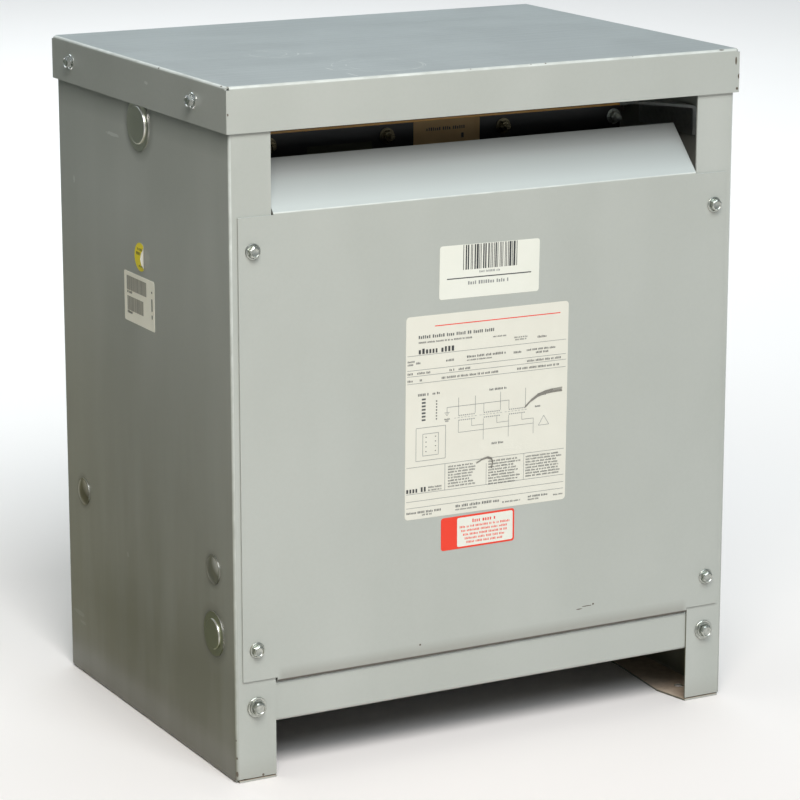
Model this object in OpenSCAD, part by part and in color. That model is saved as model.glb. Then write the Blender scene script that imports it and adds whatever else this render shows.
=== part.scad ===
// Ventilated dry-type distribution transformer: a core with three coils in a
// floor-standing enclosure of folded sheet steel.
// Millimetres, +Z up, front towards -Y, origin on the floor in the middle of the footprint.

/* [Enclosure] */
// Width over the two side panels
body_w = 584; // [560:1:700]
// Depth over the corner posts
body_d = 432; // [400:1:560]
// Height of the side panels, up to the underside of the lid
body_h = 708; // [690:1:820]
// Thickness of the enclosure's sheet steel
sheet = 2; // [1.5:0.1:2.4]
// Outside radius of a fold in that sheet
fold_r = 3.5; // [3:0.1:5]
// Width of the corner posts that are folded from the side panels
post_w = 45; // [38:1:60]
// Width of the foot flange that is folded in along the floor
foot_w = 45; // [38:1:60]
// Extra width of the foot flange at its mounting holes
foot_ear = 9; // [4:1:14]
// Length over which an ear runs out along the flange
ear_run = 98; // [60:1:130]
// Diameter of the mounting holes in the foot flanges
foot_hole_d = 11; // [8:0.5:14]
// Distance of the mounting holes from the outside of the side panel
foot_hole_in = 25; // [20:1:30]
// Distance of the mounting holes from the front and rear faces
foot_hole_end = 42; // [34:1:60]

/* [Lid] */
// Gap between the body and the inside of the lid's skirts
lid_clear = 1.5; // [1.2:0.1:3]
// Height of the lid's skirts
lid_skirt = 46; // [36:1:56]
// Gap in the seam between two skirts at a corner
lid_seam = 0.3; // [0.2:0.1:1]
// Depth of the skirt screws below the lid's top
lid_screw_drop = 23; // [18:1:28]
// Distance of the front skirt screw from the front face
lid_screw_front = 74; // [50:1:100]
// Distance of the rear skirt screw from the rear face
lid_screw_rear = 48; // [40:1:100]
// Extra width of the lid's holes around the skirt screws
lid_screw_room = 1; // [0.5:0.1:2]

/* [Covers] */
// Distance of a cover's side edges from the outside of the side panels
cover_inset = 8; // [5:1:14]
// Height of the vent between a cover and the lid's skirt
vent_h = 83; // [70:1:100]
// Depth of the lip that is folded in at a cover's bottom
lip_depth = 14; // [10:1:20]
// Drop of that lip below the cover's bottom corners
lip_drop = 5.5; // [4:0.5:8]
// Length of the air flap that is folded in at a cover's top
flap_len = 64; // [50:1:76]
// Rise of the air flap above the horizontal
flap_angle = 45.5; // [20:0.5:55]
// Gap between a flap or lip and the posts beside it
flap_clear = 1.5; // [1:0.1:3]
// Distance of the cover screws and leg bolts from the outside of the side panels
screw_in = 23.5; // [20:0.5:30]
// Distance of the upper cover screws from the cover's top edge
screw_top = 34; // [25:1:50]
// Distance of the lower cover screws from the cover's bottom corners
screw_bottom = 32.3; // [25:0.1:50]
// Diameter of the pilot holes for screws
screw_d = 5; // [4:0.5:6]
// Clearance width of a cover's screw slots
slot_w = 6.5; // [6.1:0.1:8]
// Run of a cover's screw slots up from the screw
slot_run = 4; // [2:0.5:6]

/* [Rails and base] */
// Height of the rails' lower edge above the floor
rail_z = 59; // [45:1:70]
// Height of a rail
rail_h = 42.5; // [36:0.5:60]
// Thickness of the rails and base channels
rail_t = 2.5; // [2:0.1:2.9]
// Depth of a rail's lips
rail_lip = 28; // [22:1:40]
// Height of the leg bolts above a rail's lower edge
bolt_up = 19.5; // [17:0.5:21]
// Diameter of the holes for leg bolts and brace bolts
bolt_d = 9; // [7:0.5:10]
// Width of a base channel
base_w = 50; // [44:1:60]
// Gap between a base channel and the rail's upper lip
base_gap = 0.5; // [0.3:0.1:2]
// Distance of a base channel's centre from the clamps' ends
base_in = 32; // [28:1:44]
// Diameter of a vibration pad
pad_d = 36; // [28:1:39]
// Height of a vibration pad
pad_h = 22; // [14:1:30]
// Radius of the groove around a vibration pad
pad_groove = 4.4; // [2:0.1:6]

/* [Core and coils] */
// Width of a core leg
leg_w = 75; // [60:1:82]
// Thickness of the stack of core sheets
stack = 100; // [80:1:115]
// Height of a yoke
yoke_h = 75; // [64:1:84]
// Room between the core's top and the underside of the lid
head_room = 70; // [60:0.5:110]
// Gap between a leg and the inner winding
leg_gap = 6; // [3:0.5:8]
// Thickness of an inner winding
inner_t = 10; // [7:0.5:13]
// Width of the air duct between the windings
duct = 6; // [4:0.5:8]
// Thickness of an outer winding
outer_t = 10.5; // [7:0.5:13]
// Inside corner radius of the inner winding
coil_r = 8; // [5:0.5:12]
// Space between neighbouring coils
coil_space = 10; // [5:1:16]
// Height of the end blocks above and below a coil
coil_end = 12; // [8:1:20]
// Width of an end block
block_w = 40; // [26:1:60]
// Width of a duct stick
stick_w = 8; // [5:1:12]

/* [Clamps, braces and tap board] */
// Thickness of the core clamps
clamp_t = 5; // [4:0.5:7]
// Depth of the clamps' flanges outside the web
clamp_flange = 40; // [40:1:44]
// Room between the clamps' ends and the side walls
end_room = 58; // [50:0.5:70]
// Thickness of a core brace
brace_t = 3; // [2:0.5:4]
// Inside radius of a brace's fold
brace_bend = 1; // [0.5:0.1:3]
// Height of the brace's leg against the side wall
brace_leg = 32; // [20:1:40]
// Lap of a brace over the clamps' ends
brace_lap = 28; // [24:1:40]
// Distance of a brace's narrow end from the flanges' edges
brace_edge = 3; // [1:1:14]
// Depth of the chamfer that widens a brace towards the wall
brace_chamfer = 43; // [30:1:48]
// Widening of a brace by that chamfer on each side
brace_flare = 58; // [40:1:64]
// Room around the upper plug in the brace's notch
notch_room = 12; // [6:1:18]
// Distance of the tap board's ends from the clamps' ends
board_in = 21; // [12:1:40]
// Height of the tap board
board_h = 60; // [50:1:70]
// Thickness of the tap board
board_t = 10; // [6:1:12]
// Rise of the tap board above the core
board_rise = 7.5; // [4:0.5:22]
// Gap between the clamps' flanges and the tap board
board_gap = 16; // [10:1:20]
// Diameter of the tap board's spacers
spacer_d = 16; // [12:1:20]
// Depth of the spacers' axes below the core's top
spacer_drop = 20; // [17:0.5:26]
// Distance from the middle to the inner spacers
spacer_in = 65; // [40:1:100]
// Distance of the outer spacers from the tap board's ends
spacer_end = 21; // [12:1:40]

/* [Hole plugs] */
// Diameter of the wide plug under the lid
upper_plug_d = 54; // [48:1:60]
// Diameter of the wide plug near the foot
lower_plug_d = 46; // [42:1:54]
// Diameter of a small domed plug
small_plug_d = 30; // [26:1:34]
// Distance of the plugs from the front and rear faces
plug_edge = 48.5; // [44:0.5:70]
// Height of the lower wide plug
lower_plug_z = 146; // [140:1:160]
// Height of the small plugs
small_plug_z = 213.5; // [200:0.5:260]
// Thickness of a plug's rim
rim_t = 1; // [0.6:0.1:1.1]
// Width of a wide plug's rim around its raised pan
pan_edge = 7; // [5:0.5:9]
// Height of a wide plug's raised pan
pan_h = 3; // [2:0.5:4]
// Height of a small plug's dome
dome_h = 5; // [3:0.5:7]
// Lap of a plug's rim over its hole
plug_lap = 4; // [3:0.5:5]
// Gap between a plug's collar and its hole
plug_fit = 0.3; // [0.2:0.1:0.6]
// Depth of a plug's collar behind the wall
collar_h = 5; // [3:1:7]
// Gap between the upper plug's pan and the lid's skirt
plug_gap = 1; // [0.5:0.5:3]

/* [Hidden] */
$fn = 48;
cut = 1;

paint = "#b4b7af";
plated = "#c9ccc8";
dark_steel = "#3c3d3b";
lamination = "#55565a";
winding = "#8a5a2b";
insulation = "#b98f4f";

// Enclosure
half_w = body_w / 2;
half_d = body_d / 2;
wall_in = half_w - sheet;
post_in = half_w - post_w;
lid_top = body_h + sheet;
lid_bottom = lid_top - lid_skirt;
lid_w = body_w + 2 * (lid_clear + sheet);
lid_d = body_d + 2 * (lid_clear + sheet);
rail_top = rail_z + rail_h;
cover_bottom = rail_top + lip_drop;
cover_top = lid_bottom - vent_h;
cover_w = body_w - 2 * cover_inset;
flap_w = 2 * (post_in - flap_clear);
screw_x = half_w - screw_in;
screw_z = [cover_bottom + screw_bottom, cover_top - screw_top];
bolt_z = rail_z + bolt_up;
lid_screw_y = [lid_screw_front - half_d, half_d - lid_screw_rear];
lid_screw_z = lid_top - lid_screw_drop;
foot_hole_y = half_d - foot_hole_end;

// Base, core and coils, from the floor up
base_z = rail_z + rail_t;
base_h = rail_h - 2 * rail_t - base_gap;
pad_z = base_z + base_h;
core_z = pad_z + pad_h;
window_z = core_z + yoke_h;
core_top = body_h - head_room;
window_h = core_top - yoke_h - window_z;
wrap = leg_gap + inner_t + duct + outer_t;
leg_pitch = leg_w + 2 * wrap + coil_space;
coil_z = window_z + coil_end;
coil_h = window_h - 2 * coil_end;
clamp_half = wall_in - end_room;
base_x = clamp_half - base_in;
flange_mid = stack / 2 + clamp_t + clamp_flange / 2;
flange_edge = stack / 2 + clamp_t + clamp_flange;
board_back = flange_edge + board_gap;
brace_bolt_x = clamp_half - brace_lap / 2;
board_half = clamp_half - board_in;

// Hole plugs: each has its diameter, its distance behind the front face and its height
upper_plug_z = lid_bottom - plug_gap - (upper_plug_d / 2 - pan_edge);
upper_plug = [upper_plug_d, half_d, upper_plug_z];
lower_plug = [lower_plug_d, plug_edge, lower_plug_z];
front_plug = [small_plug_d, plug_edge, small_plug_z];
rear_plug = [small_plug_d, body_d - plug_edge, small_plug_z];

// Rectangle with round corners, centred
module soft_rect(w, h, r) {
    square([w - 2 * r, h], center = true);
    square([w, h - 2 * r], center = true);
    for (sx = [-1, 1], sy = [-1, 1])
        translate([sx * (w / 2 - r), sy * (h / 2 - r)]) circle(r);
}

// Closed loop of sheet with round folds, centred
module sheet_loop(w, h, t, r) {
    difference() {
        soft_rect(w, h, r);
        soft_rect(w - 2 * t, h - 2 * t, r - t);
    }
}

// Half of that loop: a channel with its web on the left at x = 0 and its lips along +x
module channel_profile(lip, h, t, r) {
    intersection() {
        translate([lip + r, 0]) sheet_loop(2 * (lip + r), h, t, r);
        translate([-cut, -h]) square([lip + cut, 2 * h]);
    }
}

// Slice of a fold between two angles that are under 180 degrees apart
module fold_arc(r, t, from, to) {
    reach = 2 * r / cos((to - from) / 2);
    intersection() {
        difference() {
            circle(r);
            circle(r - t);
        }
        polygon([[0, 0], reach * [cos(from), sin(from)],
                 reach * [cos((from + to) / 2), sin((from + to) / 2)], reach * [cos(to), sin(to)]]);
    }
}

// Turns a profile drawn in (y, z) into a bar of the given length along x, centred
module along_x(length) {
    translate([-length / 2, 0, 0]) rotate([90, 0, 90]) linear_extrude(length) children();
}

// Turns a profile drawn in (x, z) into a bar of the given length along y, centred
module along_y(length) {
    translate([0, length / 2, 0]) rotate([90, 0, 0]) linear_extrude(length) children();
}

// Hole along x through the right wall or skirt
module hole_x(d, y, z) {
    translate([post_in, y, z]) rotate([0, 90, 0]) cylinder(d = d, h = post_w + lid_clear + 2 * sheet);
}

// Hole along y through the front post, rail or cover
module hole_y(d, x, z) {
    translate([x, -half_d + rail_lip, z]) rotate([90, 0, 0]) cylinder(d = d, h = rail_lip + fold_r);
}

// Foot flange of the right panel, with ears beside its mounting holes
module foot_flange() {
    edge = half_w - foot_w;
    run_y = max(foot_hole_y - ear_run, 0);
    linear_extrude(sheet)
        polygon([
            [half_w - fold_r, -half_d], [half_w - fold_r, half_d],
            [edge, half_d], [edge - foot_ear, foot_hole_y], [edge, run_y],
            [edge, -run_y], [edge - foot_ear, -foot_hole_y], [edge, -half_d]
        ]);
}

// Right wall and foot flange as one folded profile in (x, z)
module wall_profile() {
    intersection() {
        translate([0, body_h]) sheet_loop(body_w, 2 * body_h, sheet, fold_r);
        translate([half_w - foot_w, -cut]) square([foot_w + cut, body_h + cut]);
    }
}

// Right side panel: wall with two posts, folded to the foot flange at the floor
module side_panel() {
    difference() {
        union() {
            along_y(body_d - 2 * fold_r) wall_profile();
            translate([0, 0, fold_r])
                linear_extrude(body_h - fold_r)
                    intersection() {
                        sheet_loop(body_w, body_d, sheet, fold_r);
                        translate([post_in, -body_d]) square([post_w + cut, 2 * body_d]);
                    }
            foot_flange();
        }
        for (p = [upper_plug, lower_plug, front_plug, rear_plug])
            hole_x(p[0] - 2 * plug_lap, p[1] - half_d, p[2]);
        for (y = lid_screw_y)
            hole_x(screw_d, y, lid_screw_z);
        for (sy = [-1, 1])
            translate([half_w - foot_hole_in, sy * foot_hole_y, -cut])
                cylinder(d = foot_hole_d, h = sheet + 2 * cut);
        for (turn = [0, 180])
            rotate(turn) {
                side = turn == 0 ? 1 : -1;
                for (z = screw_z)
                    hole_y(screw_d, side * screw_x, z);
                hole_y(bolt_d, side * screw_x, bolt_z);
            }
    }
}

module right_side_panel() { color(paint) side_panel(); }
module left_side_panel() { color(paint) mirror([1, 0, 0]) side_panel(); }

// Upright slot through a cover, from the screw upwards
module screw_slot(x, z) {
    for (up = [0, slot_run])
        hole_y(slot_w, x, z + up);
    translate([x - slot_w / 2, -half_d - fold_r, z]) cube([slot_w, 2 * fold_r, slot_run]);
}

// Front cover: flat sheet, lip on the rail, air flap folded in and up under the vent
module cover() {
    face_y = -half_d - sheet;
    difference() {
        union() {
            translate([-cover_w / 2, face_y, cover_bottom])
                cube([cover_w, sheet, cover_top - cover_bottom]);
            along_x(flap_w) {
                translate([face_y, rail_top + fold_r]) square([sheet, lip_drop]);
                translate([face_y + fold_r, rail_top + fold_r]) fold_arc(fold_r, sheet, 180, 270);
                translate([face_y + fold_r, rail_top]) square([lip_depth - fold_r, sheet]);
                translate([face_y, cover_top - fold_r]) square([sheet, fold_r]);
                translate([face_y + fold_r, cover_top]) {
                    fold_arc(fold_r, sheet, 90 + flap_angle, 180);
                    rotate(flap_angle) translate([0, fold_r - sheet]) square([flap_len, sheet]);
                }
            }
        }
        for (sx = [-1, 1], z = screw_z)
            screw_slot(sx * screw_x, z);
    }
}

module front_cover() { color(paint) cover(); }
module rear_cover() { color(paint) rotate(180) cover(); }

// Lid: tray with four folded skirts, the side ones butted on the front and rear ones
module lid() {
    flat_h = lid_skirt - fold_r;
    side_l = lid_d - 2 * (sheet + lid_seam);
    color(paint)
        difference() {
            translate([0, 0, lid_bottom]) {
                intersection() {
                    union() {
                        along_x(lid_w - 2 * fold_r) sheet_loop(lid_d, 2 * lid_skirt, sheet, fold_r);
                        along_y(lid_d - 2 * fold_r) sheet_loop(lid_w, 2 * lid_skirt, sheet, fold_r);
                    }
                    translate([-lid_w, -lid_d, 0]) cube([2 * lid_w, 2 * lid_d, 2 * lid_skirt]);
                }
                for (turn = [0, 180])
                    rotate(turn) {
                        translate([-lid_w / 2, -lid_d / 2, 0]) cube([lid_w, sheet, flat_h]);
                        translate([-lid_w / 2, -side_l / 2, 0]) cube([sheet, side_l, flat_h]);
                    }
            }
            for (sx = [0, 1], y = lid_screw_y)
                mirror([sx, 0, 0]) hole_x(screw_d + lid_screw_room, y, lid_screw_z);
        }
}

// Front rail: channel behind the posts with its lips turned in
module rail() {
    difference() {
        translate([0, -half_d + sheet, rail_z + rail_h / 2])
            along_x(body_w - 2 * fold_r) channel_profile(rail_lip, rail_h, rail_t, fold_r);
        for (sx = [-1, 1])
            hole_y(bolt_d, sx * screw_x, bolt_z);
    }
}

module front_rail() { color(paint) rail(); }
module rear_rail() { color(paint) rotate(180) rail(); }

// Base channel on the rails' lower lips, open downwards
module base_channel() {
    color(dark_steel)
        translate([0, 0, base_z + base_h])
            along_y(body_d - 2 * (sheet + fold_r))
                rotate(-90) channel_profile(base_h, base_w, rail_t, fold_r);
}

module left_base_channel() { translate([-base_x, 0, 0]) base_channel(); }
module right_base_channel() { translate([base_x, 0, 0]) base_channel(); }

// Rubber pads with a waist, under the ends of the bottom clamps
module vibration_pads() {
    color("#1f1f1f")
        for (sx = [-1, 1], sy = [-1, 1])
            translate([sx * base_x, sy * flange_mid, pad_z])
                rotate_extrude()
                    difference() {
                        square([pad_d / 2, pad_h]);
                        translate([pad_d / 2, pad_h / 2]) circle(pad_groove);
                    }
}

module yoke(z) {
    color(lamination)
        translate([-leg_pitch - leg_w / 2, -stack / 2, z]) cube([2 * leg_pitch + leg_w, stack, yoke_h]);
}

module core_leg(i) {
    color(lamination)
        translate([i * leg_pitch - leg_w / 2, -stack / 2, window_z]) cube([leg_w, stack, window_h]);
}

module core_bottom_yoke() { yoke(core_z); }
module core_top_yoke() { yoke(window_z + window_h); }
module core_left_leg() { core_leg(-1); }
module core_middle_leg() { core_leg(0); }
module core_right_leg() { core_leg(1); }

// One winding around a leg: it starts the given distance from the leg
module winding_ring(i, start, t) {
    grow = start + t;
    translate([i * leg_pitch, 0, coil_z])
        linear_extrude(coil_h)
            sheet_loop(leg_w + 2 * grow, stack + 2 * grow, t, coil_r + grow - leg_gap);
}

module inner_winding(i) { color(insulation) winding_ring(i, leg_gap, inner_t); }
module outer_winding(i) { color(winding) winding_ring(i, leg_gap + inner_t + duct, outer_t); }

module left_inner_winding() { inner_winding(-1); }
module middle_inner_winding() { inner_winding(0); }
module right_inner_winding() { inner_winding(1); }
module left_outer_winding() { outer_winding(-1); }
module middle_outer_winding() { outer_winding(0); }
module right_outer_winding() { outer_winding(1); }

// Sticks that keep the air duct open: three on each side of the coil
module duct_sticks(i) {
    near = leg_gap + inner_t;
    flat = [leg_w / 2 + leg_gap - coil_r - stick_w / 2, stack / 2 + leg_gap - coil_r - stick_w / 2];
    color(insulation)
        translate([i * leg_pitch, 0, coil_z])
            for (side = [-1, 1], k = [-1, 0, 1]) {
                translate([k * flat[0], side * (stack / 2 + near + duct / 2), coil_h / 2])
                    cube([stick_w, duct, coil_h], center = true);
                translate([side * (leg_w / 2 + near + duct / 2), k * flat[1], coil_h / 2])
                    cube([duct, stick_w, coil_h], center = true);
            }
}

module left_duct_sticks() { duct_sticks(-1); }
module middle_duct_sticks() { duct_sticks(0); }
module right_duct_sticks() { duct_sticks(1); }

// Blocks between the clamps' flanges and the coils, front and rear
module end_blocks(z) {
    color(insulation)
        for (i = [-1, 0, 1], sy = [-1, 1])
            translate([i * leg_pitch, sy * (stack / 2 + leg_gap + (wrap - leg_gap) / 2), z + coil_end / 2])
                cube([block_w, wrap - leg_gap, coil_end], center = true);
}

module bottom_end_blocks() { end_blocks(window_z); }
module top_end_blocks() { end_blocks(coil_z + coil_h); }

// Front core clamp: channel with its web on the core and its flanges turned out
module clamp(z) {
    fold = clamp_t + fold_r;
    color(dark_steel)
        translate([0, -stack / 2, z + yoke_h / 2])
            along_x(2 * clamp_half)
                mirror([1, 0]) channel_profile(clamp_t + clamp_flange, yoke_h, clamp_t, fold);
}

// Top clamp: as the bottom one, with holes for the brace bolts
module top_clamp() {
    difference() {
        clamp(core_top - yoke_h);
        for (sx = [-1, 1])
            translate([sx * brace_bolt_x, -flange_mid, core_top - clamp_t - cut])
                cylinder(d = bolt_d, h = clamp_t + 2 * cut);
    }
}

module bottom_clamp_front() { clamp(core_z); }
module bottom_clamp_rear() { rotate(180) clamp(core_z); }
module top_clamp_front() { top_clamp(); }
module top_clamp_rear() { rotate(180) top_clamp(); }

// Right core brace: plate on both top clamps, folded down on the side wall, notched round the plug
module core_brace() {
    inner = clamp_half - brace_lap;
    half_in = flange_edge - brace_edge;
    half_out = half_in + brace_flare;
    notch = upper_plug_d / 2 + notch_room;
    outside_r = brace_t + brace_bend;
    top = core_top + brace_t;
    color(dark_steel)
        difference() {
            intersection() {
                along_y(2 * half_out) {
                    translate([inner, core_top]) square([wall_in - outside_r - inner, brace_t]);
                    translate([wall_in - outside_r, top - outside_r]) fold_arc(outside_r, brace_t, 0, 90);
                    translate([wall_in - brace_t, top - brace_leg]) square([brace_t, brace_leg - outside_r]);
                }
                translate([0, 0, top - brace_leg - cut])
                    linear_extrude(brace_leg + 2 * cut)
                        polygon([
                            [inner - cut, -half_in], [wall_in - brace_chamfer, -half_in],
                            [wall_in, -half_out], [wall_in + cut, -half_out],
                            [wall_in + cut, half_out], [wall_in, half_out],
                            [wall_in - brace_chamfer, half_in], [inner - cut, half_in]
                        ]);
            }
            translate([wall_in - brace_chamfer, -notch, top - brace_leg - cut])
                cube([brace_chamfer + cut, 2 * notch, brace_leg + 2 * cut]);
            for (sy = [-1, 1])
                translate([brace_bolt_x, sy * flange_mid, core_top - cut])
                    cylinder(d = bolt_d, h = brace_t + 2 * cut);
        }
}

module right_core_brace() { core_brace(); }
module left_core_brace() { mirror([1, 0, 0]) core_brace(); }

// Insulating board behind the front vent
module tap_board() {
    color(dark_steel)
        translate([-board_half, -board_back - board_t, core_top + board_rise - board_h])
            cube([2 * board_half, board_t, board_h]);
}

// Round spacers from the front top clamp's web to the tap board
module tap_board_spacers() {
    reach = clamp_flange + board_gap;
    color(insulation)
        for (sx = [-1, 1], x = [spacer_in, board_half - spacer_end])
            translate([sx * x, -stack / 2 - clamp_t, core_top - spacer_drop])
                rotate([90, 0, 0]) cylinder(d = spacer_d, h = reach);
}

// Collar of a plug, inside its hole
module plug_collar(d) {
    r = d / 2 - plug_lap - plug_fit;
    translate([r - rim_t, -sheet - collar_h]) square([rim_t, sheet + collar_h]);
}

// Wide plug: flat rim with a raised pan
module wide_plug(d) {
    r = d / 2 - pan_edge;
    soft = pan_h / 2;
    rotate_extrude() {
        square([d / 2, rim_t]);
        square([r, pan_h - soft]);
        square([r - soft, pan_h]);
        translate([r - soft, pan_h - soft]) circle(soft);
        plug_collar(d);
    }
}

// Small plug: flat rim with a dome
module small_plug(d) {
    r = d / 2 - rim_t;
    rise = dome_h - rim_t;
    ball = (r * r + rise * rise) / (2 * rise);
    rotate_extrude() {
        square([d / 2, rim_t]);
        intersection() {
            translate([0, dome_h - ball]) circle(ball);
            square([d / 2, dome_h]);
        }
        plug_collar(d);
    }
}

// Puts a plug on the outside of the right wall
module on_wall(plug) {
    color(plated)
        translate([half_w, plug[1] - half_d, plug[2]]) rotate([0, 90, 0]) children();
}

module right_upper_plug() { on_wall(upper_plug) wide_plug(upper_plug[0]); }
module right_lower_plug() { on_wall(lower_plug) wide_plug(lower_plug[0]); }
module right_front_plug() { on_wall(front_plug) small_plug(front_plug[0]); }
module right_rear_plug() { on_wall(rear_plug) small_plug(rear_plug[0]); }
module left_upper_plug() { mirror([1, 0, 0]) right_upper_plug(); }
module left_lower_plug() { mirror([1, 0, 0]) right_lower_plug(); }
module left_front_plug() { mirror([1, 0, 0]) right_front_plug(); }
module left_rear_plug() { mirror([1, 0, 0]) right_rear_plug(); }

left_side_panel();
right_side_panel();
front_cover();
rear_cover();
lid();
front_rail();
rear_rail();
left_base_channel();
right_base_channel();
vibration_pads();
core_bottom_yoke();
core_top_yoke();
core_left_leg();
core_middle_leg();
core_right_leg();
left_inner_winding();
middle_inner_winding();
right_inner_winding();
left_outer_winding();
middle_outer_winding();
right_outer_winding();
left_duct_sticks();
middle_duct_sticks();
right_duct_sticks();
bottom_end_blocks();
top_end_blocks();
bottom_clamp_front();
bottom_clamp_rear();
top_clamp_front();
top_clamp_rear();
left_core_brace();
right_core_brace();
tap_board();
tap_board_spacers();
left_upper_plug();
left_lower_plug();
left_front_plug();
left_rear_plug();
right_upper_plug();
right_lower_plug();
right_front_plug();
right_rear_plug();
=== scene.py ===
import math
import random

import bmesh
import bpy
from mathutils import Matrix, Vector


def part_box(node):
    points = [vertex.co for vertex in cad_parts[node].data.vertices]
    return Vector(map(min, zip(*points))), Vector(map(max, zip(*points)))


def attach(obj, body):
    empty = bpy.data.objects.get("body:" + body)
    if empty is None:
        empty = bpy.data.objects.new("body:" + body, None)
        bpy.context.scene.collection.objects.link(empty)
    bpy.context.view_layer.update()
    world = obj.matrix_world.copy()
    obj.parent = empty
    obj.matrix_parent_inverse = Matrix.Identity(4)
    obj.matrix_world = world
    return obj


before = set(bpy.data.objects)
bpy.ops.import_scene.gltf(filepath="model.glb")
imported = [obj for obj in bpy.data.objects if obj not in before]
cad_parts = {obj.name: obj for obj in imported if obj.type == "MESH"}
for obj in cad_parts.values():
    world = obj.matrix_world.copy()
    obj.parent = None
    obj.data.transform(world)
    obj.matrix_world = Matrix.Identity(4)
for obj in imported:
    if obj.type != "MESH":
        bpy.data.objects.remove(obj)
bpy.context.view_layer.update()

MM = 0.001

# Places on the enclosure, in metres, from the frame
half_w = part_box("right_side_panel")[1].x
half_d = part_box("right_side_panel")[1].y
front_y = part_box("front_cover")[0].y
cover_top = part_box("front_cover")[1].z
rail_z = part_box("front_rail")[0].z
rail_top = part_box("front_rail")[1].z
lid_low, lid_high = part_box("lid")
board_low, board_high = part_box("tap_board")
clamp_low, clamp_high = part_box("top_clamp_front")
brace_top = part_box("right_core_brace")[1].z

# Places of the screws and bolts
SCREW_IN = 23.5 * MM
SCREW_ROWS = (rail_top + 37.8 * MM, lid_low.z - 117 * MM)
LEG_BOLT_UP = 19.5 * MM
POST_SHEET = 2 * MM
RAIL_SHEET = 2.5 * MM
LID_SCREW_FRONT = 74 * MM
LID_SCREW_REAR = 48 * MM
LID_SCREW_DROP = 23 * MM
BRACE_BOLT_IN = 14 * MM
CLAMP_THICK = 5 * MM
STUD_ROW = (-203 * MM, -69 * MM, 68 * MM, 203 * MM)
STUD_DROP = 13.5 * MM

# Directions that a fastener or a label can face
FRONT = Vector((0, -1, 0))
REAR = Vector((0, 1, 0))
LEFT = Vector((-1, 0, 0))
RIGHT = Vector((1, 0, 0))
UP = Vector((0, 0, 1))
DOWN = Vector((0, 0, -1))

# Dirt, painted shade and painted light by height: where it starts and where it is thickest, in millimetres,
# and the share that it covers there
FLANGE_GRIT = (5, 2.5, 1.0)
FOOT_SOIL = (26, 0, 0.25)
NEAR_FLOOR_SHADE = (60, 0, 0.45)
WALL_LOW_SHADE = (560, 100, 0.79)
SKIRT_SHADE = (lid_low.z / MM - 28, lid_low.z / MM, 0.5)
SEAM_SHADE = (rail_top / MM + 16.5, rail_top / MM + 6.5, 0.30)
FLAP_PAINTED_LIGHT = (cover_top / MM - 42, cover_top / MM - 12, 1.0)

# The seam's painted shade ends beside the posts, between these distances from the middle
SEAM_END = half_w - 46 * MM
SEAM_FULL = half_w - 52 * MM

# Share of the painted shade around the plugs, and the side that the painted glint on the plugs faces
PLUG_SHADE = 0.45
GLINT_FROM = (0.0, -0.75, 0.66)

# The tap board's sawn upper edge, down from its top, in millimetres
SAWN_EDGE = (2.2, 1.6)


def linear(code):
    """An sRGB hex colour as linear RGBA."""
    shares = [int(code[i:i + 2], 16) / 255 for i in (1, 3, 5)]
    return [s / 12.92 if s <= 0.04045 else ((s + 0.055) / 1.055) ** 2.4 for s in shares] + [1.0]


def per_mm(size):
    """Pattern scale that repeats about once in this many millimetres."""
    return 1 / (size * MM)


def wave_scale(size):
    """Scale of a wave whose bands are this many millimetres apart: at 1 they are 2 pi / 20 metres apart."""
    return per_mm(size) * 2 * math.pi / 20


def fill(tree, node, values):
    """Gives a node's inputs their values: a plain value is set, and an output of another node is linked."""
    for name, value in values.items():
        if isinstance(value, bpy.types.NodeSocket):
            tree.links.new(value, node.inputs[name])
        else:
            node.inputs[name].default_value = value


def put(tree, kind, inputs=None, **settings):
    """Adds one node: settings are its properties, inputs its values and links. Returns its outputs."""
    made = tree.nodes.new("ShaderNode" + kind)
    for name, value in settings.items():
        setattr(made, name, value)
    fill(tree, made, inputs or {})
    return made.outputs


def start_material(name):
    """New material with a Principled shader. Returns it, its node tree and each point's place in metres."""
    material = bpy.data.materials.new(name)
    material.use_nodes = True
    tree = material.node_tree
    return material, tree, put(tree, "TexCoord")["Object"]


def end_material(material, values):
    """Gives the material's Principled shader its values and links, and returns the material."""
    tree = material.node_tree
    fill(tree, tree.nodes["Principled BSDF"], values)
    return material


def by_height(tree, place, start, full, share):
    """Mask that is 0 at the start height and grows to this share at the full height, both in millimetres."""
    height = put(tree, "SeparateXYZ", {0: place})["Z"]
    heights = {"From Min": start * MM, "From Max": full * MM}
    return put(tree, "MapRange", {"Value": height, **heights, "To Max": share})[0]


def spots(tree, place, ragged, marks):
    """Mask that is 1 inside any of the marks: each has a centre and half sizes in millimetres.

    Ragged is a noise of about a half. It is added to the distance in half sizes, so edges lie near 1.5.
    """
    mask = 0.0
    for centre, size in marks:
        offset = put(tree, "VectorMath", {0: place, 1: [c * MM for c in centre]}, operation="SUBTRACT")[0]
        share = put(tree, "VectorMath", {0: offset, 1: [s * MM for s in size]}, operation="DIVIDE")[0]
        length = put(tree, "VectorMath", {0: share}, operation="LENGTH")["Value"]
        rough = put(tree, "Math", {0: length, 1: ragged}, operation="ADD")[0]
        inside = put(tree, "MapRange", {"Value": rough, "From Min": 1.55, "From Max": 1.35})[0]
        mask = put(tree, "Math", {0: mask, 1: inside}, operation="MAXIMUM")[0]
    return mask


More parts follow.
